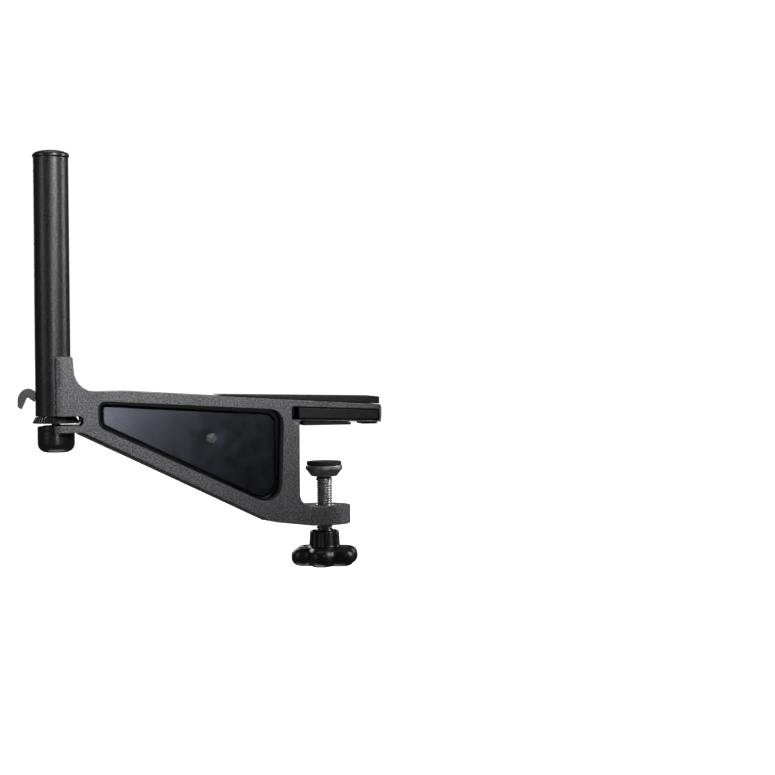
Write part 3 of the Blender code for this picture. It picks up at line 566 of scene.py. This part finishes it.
def panel(side):
    """A hollow panel with a well-rounded rim and a post round its rivet."""
    steps = [(PANEL_WALL, PANEL_FACE - PANEL_WALL), (PANEL_WALL, PANEL_BACK), (0, PANEL_BACK)]
    steps += rim(PANEL_RIM, PANEL_FACE, 6)
    shell = loft([outline_ring(PANEL, distance, side * depth) for distance, depth in steps])
    post = lathe([(PANEL_POST, -side * (PANEL_FACE - 0.6)), (PANEL_POST, -side * PANEL_BACK)], steps=48)
    hole = lathe([(PANEL_HOLE, -side * (PANEL_FACE + 2)), (PANEL_HOLE, -side * (PANEL_BACK - 1))], steps=48)
    shell = joined(shell, turn_about_y_axis(post, *RIVET), "UNION")
    return joined(shell, turn_about_y_axis(hole, *RIVET), "DIFFERENCE")


piece("front_panel_cover", panel(-1), "front_panel", width=0.12, least=40)
piece("rear_panel_cover", panel(1), "rear_panel", width=0.12, least=40)


HEAD_TIP, HEAD_SEAT, HEAD_RADIUS, HEAD_BEND, SHANK_RADIUS = 9.08, 7.3, 3.2, 1.2, 1.9
DENT, DENTS, WAVE, WAVES = 0.05, 5, 0.006, 3


def rivet_half(side):
    """Profile of a rivet head from its tip to the shank: a low dome with a rounded side."""
    bend = (HEAD_RADIUS - HEAD_BEND, 7.62)
    head = [(0, HEAD_TIP), (1.3, 9.02), (2.0, 8.82)] + arc(HEAD_BEND, bend, 80, 8, 6)
    head += [(HEAD_RADIUS, 7.45), (3.1, HEAD_SEAT), (SHANK_RADIUS, HEAD_SEAT)]
    return [(r, side * z) for r, z in head]


def hammered(shape):
    """Gives a rivet shallow dents round the sides of its heads and a faint wave over their domes."""
    for point in shape.verts:
        reach = point.co.xy.length / MM
        turn = math.atan2(point.co.y, point.co.x)
        if reach > 2.3:
            dent = DENT * math.sin(DENTS * turn + 2.1 * reach) * min(1.0, reach / 3.0)
            point.co.xy *= 1 - abs(dent) / reach
        if abs(point.co.z) > 7.9 * MM:
            point.co.z *= 1 - WAVE * (1 + math.sin(WAVES * turn + 1.3 * reach))
    return shape


rivet = hammered(lathe(rivet_half(1) + rivet_half(-1)[::-1], steps=64))
piece("rivet", turn_about_y_axis(rivet, *RIVET), "panel_rivet")

CUP_RADIUS, CUP_BOTTOM, CUP_TOP, CUP_BEND, CUP_RIM = 10.5, -13.3, 1.7, 5.2, 0.5
CUP_BORE, CUP_FLOOR, CUP_DRAIN, CUP_SEAM = 8.3, -11.5, 0.8, 0.12
cup_profile = [(CUP_BORE, -9.1), (CUP_BORE, CUP_TOP), (CUP_RADIUS - CUP_RIM, CUP_TOP)]
cup_profile += arc(CUP_RIM, (CUP_RADIUS - CUP_RIM, CUP_TOP - CUP_RIM), 80, 0, 4)
cup_profile += [(CUP_RADIUS, -1.3), (CUP_RADIUS - CUP_SEAM, -1.45), (CUP_RADIUS - CUP_SEAM, -1.75)]
cup_profile += [(CUP_RADIUS, -1.9)]
cup_profile += arc(CUP_BEND, (CUP_RADIUS - CUP_BEND, CUP_BOTTOM + CUP_BEND), 0, -84, 12)
cup_profile += [(CUP_DRAIN, CUP_BOTTOM), (CUP_DRAIN, CUP_FLOOR), (5.9, CUP_FLOOR)]
cup = lathe(cup_profile, (ADJUSTER_X, 0), 128, closed=True)
cup = joined(cup, block((POST_X - 0.9, -20, -2.1), (POST_X + 20, 20, 10)), "DIFFERENCE")
piece("cup", cup, "end_cup")

BUSH_RADIUS, BUSH_BORE, BUSH_TOP, BUSH_BOTTOM, BUSH_BEVEL = 8.5, 5.3, -48.2, -58.8, 0.5
bush_profile = [(BUSH_RADIUS, BUSH_TOP - BUSH_BEVEL), (BUSH_RADIUS - BUSH_BEVEL, BUSH_TOP)]
bush_profile += [(BUSH_BORE + BUSH_BEVEL, BUSH_TOP), (BUSH_BORE, BUSH_TOP - BUSH_BEVEL)]
bush_profile += [(BUSH_BORE, BUSH_BOTTOM + BUSH_BEVEL), (BUSH_BORE + BUSH_BEVEL, BUSH_BOTTOM)]
bush_profile += [(BUSH_RADIUS - BUSH_BEVEL, BUSH_BOTTOM), (BUSH_RADIUS, BUSH_BOTTOM + BUSH_BEVEL)]
piece("screw_bush", lathe(bush_profile, steps=96, closed=True), "thread_insert", width=0.12, least=25)


# ---------------------------------------------------------------- post

POST_BOTTOM, POST_TOP, POST_RADIUS, POST_BORE = 7.3, 154.6, 10.0, 8.5
tube_profile = [(POST_BORE, POST_BOTTOM), (POST_RADIUS, POST_BOTTOM)]
tube_profile += [(POST_RADIUS, POST_TOP), (POST_BORE, POST_TOP)]
tube = lathe(tube_profile, (POST_X, 0), 128, closed=True)
piece("post", tube, "post_tube", width=0.35, segments=3, least=60)

CAP_RADIUS, CAP_TOP, CAP_RIM, CAP_LIP, CAP_GAP = 10.5, 159.27, 156.1, 0.35, 0.3
CAP_PLUG, CAP_REACH, CAP_SLOT, CAP_SLOT_FLOOR = 8.2, 7, 0.9, 1.9
dome = (math.radians(6 * i) for i in range(1, 16))
cap_profile = [(0, CAP_TOP)]
cap_profile += [(CAP_RADIUS * math.sin(a) ** 0.92, CAP_RIM + (CAP_TOP - CAP_RIM) * math.cos(a)) for a in dome]
cap_profile += arc(CAP_LIP, (CAP_RADIUS - CAP_LIP, POST_TOP + CAP_GAP + CAP_LIP), 0, -90, 4)
cap_profile += [(CAP_PLUG, POST_TOP + CAP_GAP), (CAP_PLUG, POST_TOP - CAP_REACH), (0, POST_TOP - CAP_REACH)]
cap = lathe(cap_profile, (POST_X, 0), 128)
slot_low = (POST_X - 15, -CAP_SLOT, POST_TOP + CAP_SLOT_FLOOR)
slot_high = (POST_X + 15, CAP_SLOT, CAP_TOP + 2)
piece("cap", joined(cap, block(slot_low, slot_high), "DIFFERENCE"), "post_cap")

HOOK = (
    (-168.75, 21.9, 0.3), (-171.6, 23.6, 4.0), (-175.4, 22.8, 5.5), (-178.3, 19.0, 7.0), (-178.3, 12.9, 1.0),
    (-176.3, 11.4, 0.7), (-174.4, 15.6, 1.5), (-173.0, 19.3, 1.2), (-171.0, 17.0, 1.5), (-168.75, 15.6, 0.3),
)
HOOK_HALF, HOOK_RIM, HOOK_SEAT = 2.6, 0.55, 0.3
PEG_RADIUS, PEG_START, PEG_END, PEG_HEIGHT = 2.0, 5.7, 11.0, 19.0


def hook_shape():
    """The cord hook with rounded sides, its peg, and the hollow below the peg where it clears the tube."""
    side = rim(HOOK_RIM, HOOK_HALF, 5)
    rings = [outline_ring(HOOK, distance, -depth) for distance, depth in side[::-1]]
    rings += [outline_ring(HOOK, distance, depth) for distance, depth in side]
    peg = lathe([(PEG_RADIUS, PEG_START), (PEG_RADIUS, PEG_END)], steps=40)
    place = Matrix.Translation(Vector((POST_X, 0, PEG_HEIGHT)) * MM)
    bmesh.ops.transform(peg, matrix=place @ Matrix.Rotation(-math.pi / 2, 4, "Y"), verts=peg.verts)
    clearance = lathe([(POST_RADIUS + HOOK_SEAT, 5.0), (POST_RADIUS + HOOK_SEAT, 16.6)], (POST_X, 0))
    return joined(joined(loft(rings), peg, "UNION"), clearance, "DIFFERENCE")


piece("hook", hook_shape(), "cord_hook")


# ---------------------------------------------------------------- height adjuster


def threaded(radius, pitch, depth, bottom, top, centre, steps, per_turn):
    """Rings of a right-hand screw thread, which runs out at both ends."""
    count = round((top - bottom) / pitch * per_turn)
    rings = []
    for level in range(count + 1):
        height = bottom + (top - bottom) * level / count
        fade = min(1.0, (height - bottom) / pitch, (top - height) / pitch)
        ring = []
        for step in range(steps):
            phase = (height / pitch - step / steps) % 1
            sink = min(1.0, max(0.0, 1.25 * abs(2 * phase - 1) - 0.12))
            reach = radius - depth * fade * sink
            turn = math.tau * step / steps
            ring.append((centre[0] + reach * math.cos(turn), centre[1] + reach * math.sin(turn), height))
        rings.append(ring)
    return rings


WHEEL_BOTTOM, WHEEL_TOP, WHEEL_RADIUS, WHEEL_RIBS, WHEEL_TAPER = 3.4, 6.9, 13.3, 44, 0.88
WHEEL_STEPS, WHEEL_TURN, RIB_SHARE, WHEEL_BORE = WHEEL_RIBS * 8, 0.035, 0.055, 2.8


def knurled(scale, shrink, height):
    """One ring of the wheel: ribs with flat tops and rounded grooves."""

    def reach(turn):
        rib = min(1.0, max(0.0, 0.55 + 0.95 * math.cos(WHEEL_RIBS * (turn - WHEEL_TURN))))
        return (WHEEL_RADIUS * (1 - RIB_SHARE + RIB_SHARE * rib) - shrink) * scale

    return ring_of(reach, WHEEL_STEPS, height, (ADJUSTER_X, 0))


def wheel_circle(radius, height):
    return circle(radius, height, WHEEL_STEPS, (ADJUSTER_X, 0))


wheel_rings = [
    wheel_circle(WHEEL_BORE, WHEEL_BOTTOM),
    wheel_circle(11.8, WHEEL_BOTTOM),
    knurled(1.0, 0.35, WHEEL_BOTTOM),
    knurled(1.0, 0.1, WHEEL_BOTTOM + 0.12),
    knurled(0.995, 0.0, WHEEL_BOTTOM + 0.4),
    knurled(0.5 + WHEEL_TAPER / 2, 0.0, (WHEEL_BOTTOM + WHEEL_TOP) / 2),
    knurled(WHEEL_TAPER, 0.0, WHEEL_TOP - 0.4),
    knurled(WHEEL_TAPER, 0.12, WHEEL_TOP - 0.12),
    knurled(WHEEL_TAPER, 0.5, WHEEL_TOP),
    wheel_circle(10.2, WHEEL_TOP),
    wheel_circle(9.9, WHEEL_TOP - 0.3),
    wheel_circle(5.0, WHEEL_TOP - 0.3),
    wheel_circle(4.7, WHEEL_TOP),
    wheel_circle(WHEEL_BORE, WHEEL_TOP),
]
piece("knurled_wheel", loft(wheel_rings, closed=True), "thumbwheel")

SPINDLE, SPINDLE_TIP, CLIP_GROOVE, SPINDLE_STEPS = 2.5, 1.9, 1.8, 48
plain_part = [(SPINDLE_TIP, -10.5), (SPINDLE, -9.9), (SPINDLE, -5.6), (CLIP_GROOVE, -5.6)]
plain_part += [(CLIP_GROOVE, -4.4), (SPINDLE, -4.4), (SPINDLE, 8.2)]
spindle_rings = [circle(radius, height, SPINDLE_STEPS, (ADJUSTER_X, 0)) for radius, height in plain_part]
spindle_rings += threaded(
    SPINDLE, pitch=0.8, depth=0.42, bottom=8.4, top=37.2, centre=(ADJUSTER_X, 0), steps=SPINDLE_STEPS,
    per_turn=8,
)
spindle_rings += [circle(SPINDLE_TIP, 38.0, SPINDLE_STEPS, (ADJUSTER_X, 0))]
piece("spindle", loft(spindle_rings), "adjuster_screw")


# ---------------------------------------------------------------- clamp screw, foot and knob

FOOT_TOP, FOOT_BOTTOM, FOOT_RADIUS = -24.3, -31.0, 11.0
FOOT_RIM, RING_BORE, RING_SEAT, SOCKET_BORE, SOCKET_TOP = 0.8, 6.0, -29.1, 3.3, -25.9
foot_profile = [(0, FOOT_TOP), (FOOT_RADIUS - FOOT_RIM, FOOT_TOP)]
foot_profile += arc(FOOT_RIM, (FOOT_RADIUS - FOOT_RIM, FOOT_TOP - FOOT_RIM), 75, 0, 5)
foot_profile += [(FOOT_RADIUS, -26.6), (10.82, -26.98), (10.3, -27.4), (7.9, -30.6), (7.3, FOOT_BOTTOM)]
foot_profile += [(6.3, FOOT_BOTTOM), (RING_BORE, FOOT_BOTTOM + 0.2), (RING_BORE, RING_SEAT)]
foot_profile += [(SOCKET_BORE, RING_SEAT), (SOCKET_BORE, SOCKET_TOP), (0, SOCKET_TOP)]
piece("swivel_foot", lathe(foot_profile), "pressure_foot", width=0.15, least=40)

RUBBER_TOP, RUBBER_BOTTOM, RUBBER_RADIUS, RUBBER_RIM, GROOVE_DEPTH = -22.0, -24.0, 10.4, 0.5, 0.25
pad_profile = [(0, RUBBER_TOP), (6.6, RUBBER_TOP), (6.8, RUBBER_TOP - GROOVE_DEPTH)]
pad_profile += [(7.4, RUBBER_TOP - GROOVE_DEPTH), (7.6, RUBBER_TOP), (RUBBER_RADIUS - RUBBER_RIM, RUBBER_TOP)]
pad_profile += arc(RUBBER_RIM, (RUBBER_RADIUS - RUBBER_RIM, RUBBER_TOP - RUBBER_RIM), 72, 0, 4)
pad_profile += [(RUBBER_RADIUS, RUBBER_BOTTOM), (0, RUBBER_BOTTOM)]
piece("foot_rubber", lathe(pad_profile), "foot_pad", width=0.08, least=25)

SCREW_RADIUS, SCREW_END, NECK_RADIUS, RING_GROOVE, SCREW_STEPS = 5.0, -81.0, 3.0, 2.2, 64
foot_end = [(4.2, -31.4), (NECK_RADIUS, -31.4), (NECK_RADIUS, -30.4), (RING_GROOVE, -30.4)]
foot_end += [(RING_GROOVE, -29.4), (NECK_RADIUS, -29.4), (NECK_RADIUS, -26.6), (2.6, -26.2)]
knob_end = [(SCREW_RADIUS - 0.6, SCREW_END), (SCREW_RADIUS, SCREW_END + 0.6)]
screw_rings = [circle(radius, height, SCREW_STEPS) for radius, height in knob_end]
screw_rings += threaded(
    SCREW_RADIUS, pitch=1.5, depth=0.85, bottom=-80.0, top=-32.4, centre=(0, 0), steps=SCREW_STEPS,
    per_turn=10,
)
screw_rings += [circle(radius, height, SCREW_STEPS) for radius, height in foot_end]
piece("screw", loft(screw_rings), "clamp_screw")

HUB_TOP, HUB_RADIUS, HUB_TAPER = -63.2, 9.6, 0.93
HUB_FLUTES, HUB_TURN, FLUTE_DEPTH = 6, math.radians(24), 1.1
KNOB_TOP, KNOB_BOTTOM, KNOB_RADIUS, KNOB_RIM = -73.0, -83.8, 20.5, 4.8
KNOB_LOBES, KNOB_TURN, LOBE_DEPTH = 6, math.radians(8), 4.2
KNOB_STEPS, KNOB_BORE, BORE_END, RECESS = 252, 5.3, -81.3, 0.7


def valley(turn, count, first):
    """0 at each of count ridges round an axis, the first of them at an angle, and 1 midway between two."""
    return (0.5 - 0.5 * math.cos(count * (turn - first))) ** 1.6


def lobed(shrink, height):
    """One ring of the knob's star."""

    def reach(turn):
        return KNOB_RADIUS - LOBE_DEPTH * valley(turn, KNOB_LOBES, KNOB_TURN) - shrink

    return ring_of(reach, KNOB_STEPS, height)


def fluted(shrink, height):
    """One ring of the knob's hub, which narrows towards its top."""
    rise = max(0.0, (height - KNOB_TOP) / (HUB_TOP - KNOB_TOP))

    def reach(turn):
        groove = valley(turn, HUB_FLUTES, HUB_TURN)
        return (HUB_RADIUS - FLUTE_DEPTH * groove) * (1 - (1 - HUB_TAPER) * rise) - shrink

    return ring_of(reach, KNOB_STEPS, height)


def knob_circle(radius, height):
    return circle(radius, height, KNOB_STEPS)


knob_rings = [
    knob_circle(4.0, KNOB_BOTTOM + RECESS),
    knob_circle(9.0, KNOB_BOTTOM + RECESS),
    knob_circle(9.8, KNOB_BOTTOM + 0.1),
    knob_circle(10.4, KNOB_BOTTOM),
]
knob_rings += [lobed(shrink, -depth) for shrink, depth in rim(KNOB_RIM, -KNOB_BOTTOM, 8)[::-1]]
knob_rings += [lobed(0.0, (KNOB_TOP + KNOB_BOTTOM) / 2)]
knob_rings += [lobed(shrink, height) for shrink, height in rim(KNOB_RIM, KNOB_TOP, 8)]
knob_rings += [
    knob_circle(HUB_RADIUS + 1.6, KNOB_TOP - 0.15),
    fluted(-0.7, KNOB_TOP),
    fluted(-0.15, KNOB_TOP + 0.5),
    fluted(0.0, KNOB_TOP + 1.2),
    fluted(0.0, HUB_TOP - 1.2),
    fluted(0.12, HUB_TOP - 0.6),
    fluted(0.45, HUB_TOP - 0.18),
    fluted(1.0, HUB_TOP),
    knob_circle(6.2, HUB_TOP),
    knob_circle(5.9, HUB_TOP - 0.5),
    knob_circle(KNOB_BORE, HUB_TOP - 0.5),
    knob_circle(KNOB_BORE, BORE_END),
]
piece("knob", loft(knob_rings), "star_knob")


# ---------------------------------------------------------------- pieces kept as packed

KEPT_ROUNDING, KEPT_ANGLE = 0.12, math.radians(35)
for node in ("post_plug", "post_nut", "guide_key", "guide_screw", "lug_bush", "spindle_clip", "foot_clip"):
    kept = nodes[node]
    kept.data.materials.clear()
    kept.data.materials.append(looks[slot_of[node]])
    weld = kept.modifiers.new("weld", "WELD")
    weld.merge_threshold = SAME_POINT
    rounding = kept.modifiers.new("rounding", "BEVEL")
    rounding.width = KEPT_ROUNDING * MM
    rounding.segments = 2
    rounding.limit_method = "ANGLE"
    rounding.angle_limit = KEPT_ANGLE
    rounding.use_clamp_overlap = True


# ---------------------------------------------------------------- studio

FLOOR_HEIGHT = -106.0
FLOOR_REACH = 40000.0
BACKDROP, AMBIENT = 1.05, 0.05
floor_shape = bmesh.new()
for x, y in ((-1, -1), (1, -1), (1, 1), (-1, 1)):
    floor_shape.verts.new(Vector((x * FLOOR_REACH, y * FLOOR_REACH, FLOOR_HEIGHT)) * MM)
floor_shape.faces.new(floor_shape.verts)
floor = plain_object(floor_shape)
floor.name = floor.data.name = "floor"
paper = Look("floor_paper", specular=0.1)
tone = paper.blend(paper.spread(paper.noise(60, 3), 0.3, 0.7), (0.87, 0.87, 0.872), (0.89, 0.89, 0.89))
floor.data.materials.append(paper.done(tone, paper.spread(paper.noise(25, 2), 0.3, 0.7, 0.85, 0.95)))
paper.shader.inputs["Emission Color"].default_value = (1, 1, 1, 1)
paper.shader.inputs["Emission Strength"].default_value = BACKDROP
below = paper.add("ShaderNodeMixShader")
paper.tree.links.new(paper.add("ShaderNodeNewGeometry").outputs["Backfacing"], below.inputs[0])
paper.tree.links.new(paper.shader.outputs[0], below.inputs[1])
paper.tree.links.new(paper.add("ShaderNodeBsdfTransparent").outputs[0], below.inputs[2])
paper.tree.links.new(below.outputs[0], paper.tree.nodes["Material Output"].inputs["Surface"])
floor.visible_diffuse = floor.visible_glossy = floor.visible_shadow = False

world = bpy.data.worlds.new("studio")
world.use_nodes = True
bpy.context.scene.world = world
tree = world.node_tree
tree.nodes.clear()
shown = tree.nodes.new("ShaderNodeBackground")
shown.inputs["Color"].default_value = (1, 1, 1, 1)
shown.inputs["Strength"].default_value = BACKDROP
ambient = tree.nodes.new("ShaderNodeBackground")
ambient.inputs["Color"].default_value = (0.95, 0.97, 1.0, 1)
ambient.inputs["Strength"].default_value = AMBIENT
path = tree.nodes.new("ShaderNodeLightPath")
choice = tree.nodes.new("ShaderNodeMixShader")
tree.links.new(path.outputs["Is Camera Ray"], choice.inputs[0])
tree.links.new(ambient.outputs[0], choice.inputs[1])
tree.links.new(shown.outputs[0], choice.inputs[2])
output = tree.nodes.new("ShaderNodeOutputWorld")
tree.links.new(choice.outputs[0], output.inputs[0])


def hang(light, place, target):
    """Puts a light at a place, aimed at a point."""
    lamp = bpy.data.objects.new(light.name, light)
    lamp.location = place
    lamp.rotation_euler = (Vector(target) - Vector(place)).to_track_quat("-Z", "Y").to_euler()
    bpy.context.scene.collection.objects.link(lamp)
    return lamp


def softbox(name, place, target, width, height, power):
    """A rectangular studio light aimed at a point."""
    light = bpy.data.lights.new(name, "AREA")
    light.shape = "RECTANGLE"
    light.size, light.size_y = width, height
    light.energy = power
    hang(light, place, target).visible_camera = False


def spotlight(name, place, target, reach, softness, width, power):
    """A round lamp whose beam has a given reach round its target and fades towards its rim."""
    light = bpy.data.lights.new(name, "SPOT")
    light.spot_size = 2 * math.atan(reach / (Vector(target) - Vector(place)).length)
    light.spot_blend = softness
    light.shadow_soft_size = width
    light.energy = power
    hang(light, place, target)


BEAM_CENTRE, BEAM_REACH, BEAM_FADE = (-0.115, 0, 0.20), 0.25, 0.62
spotlight("aimed", (0.30, -1.10, 0.55), BEAM_CENTRE, BEAM_REACH, BEAM_FADE, 0.10, 74)
spotlight("low", (-0.08, -1.6, 0.02), BEAM_CENTRE, BEAM_REACH, BEAM_FADE, 0.08, 18)
softbox("side", (1.1, -0.15, 0.45), (-0.12, 0, 0.05), 0.25, 0.7, 7.0)
softbox("left", (-1.2, -0.5, 0.35), (-0.1, 0, 0.0), 0.4, 0.6, 1.8)
softbox("under", (-0.12, 0.12, -0.6), (-0.12, 0, 0.0), 0.5, 0.3, 1.2)
softbox("top", (-0.1, 0.1, 1.2), (-0.08, 0, 0.0), 0.8, 0.6, 3)
softbox("back", (-0.3, 1.5, 0.5), (-0.08, 0, 0.0), 0.9, 0.7, 7)

VIEW_YAW, VIEW_PITCH, VIEW_ROLL = math.radians(15.2), math.radians(-1.203), 0.0075
VIEW_PLACE, SENSOR_WIDTH, FOCAL_LENGTH = (-0.2344, -1.0085, 0.0432), 36.0, 80.73
along = math.cos(VIEW_PITCH)
ahead = Vector((math.sin(VIEW_YAW) * along, math.cos(VIEW_YAW) * along, math.sin(VIEW_PITCH)))
level = Vector((math.cos(VIEW_YAW), -math.sin(VIEW_YAW), 0))
upright = level.cross(ahead)
right = math.cos(VIEW_ROLL) * level - math.sin(VIEW_ROLL) * upright
up = math.sin(VIEW_ROLL) * level + math.cos(VIEW_ROLL) * upright
camera = bpy.data.objects.new("camera", bpy.data.cameras.new("camera"))
camera.matrix_world = Matrix((right, up, -ahead)).transposed().to_4x4()
camera.location = VIEW_PLACE
camera.data.sensor_width = SENSOR_WIDTH
camera.data.lens = FOCAL_LENGTH
bpy.context.scene.collection.objects.link(camera)
bpy.context.scene.camera = camera
bpy.context.scene.view_settings.view_transform = "Standard"
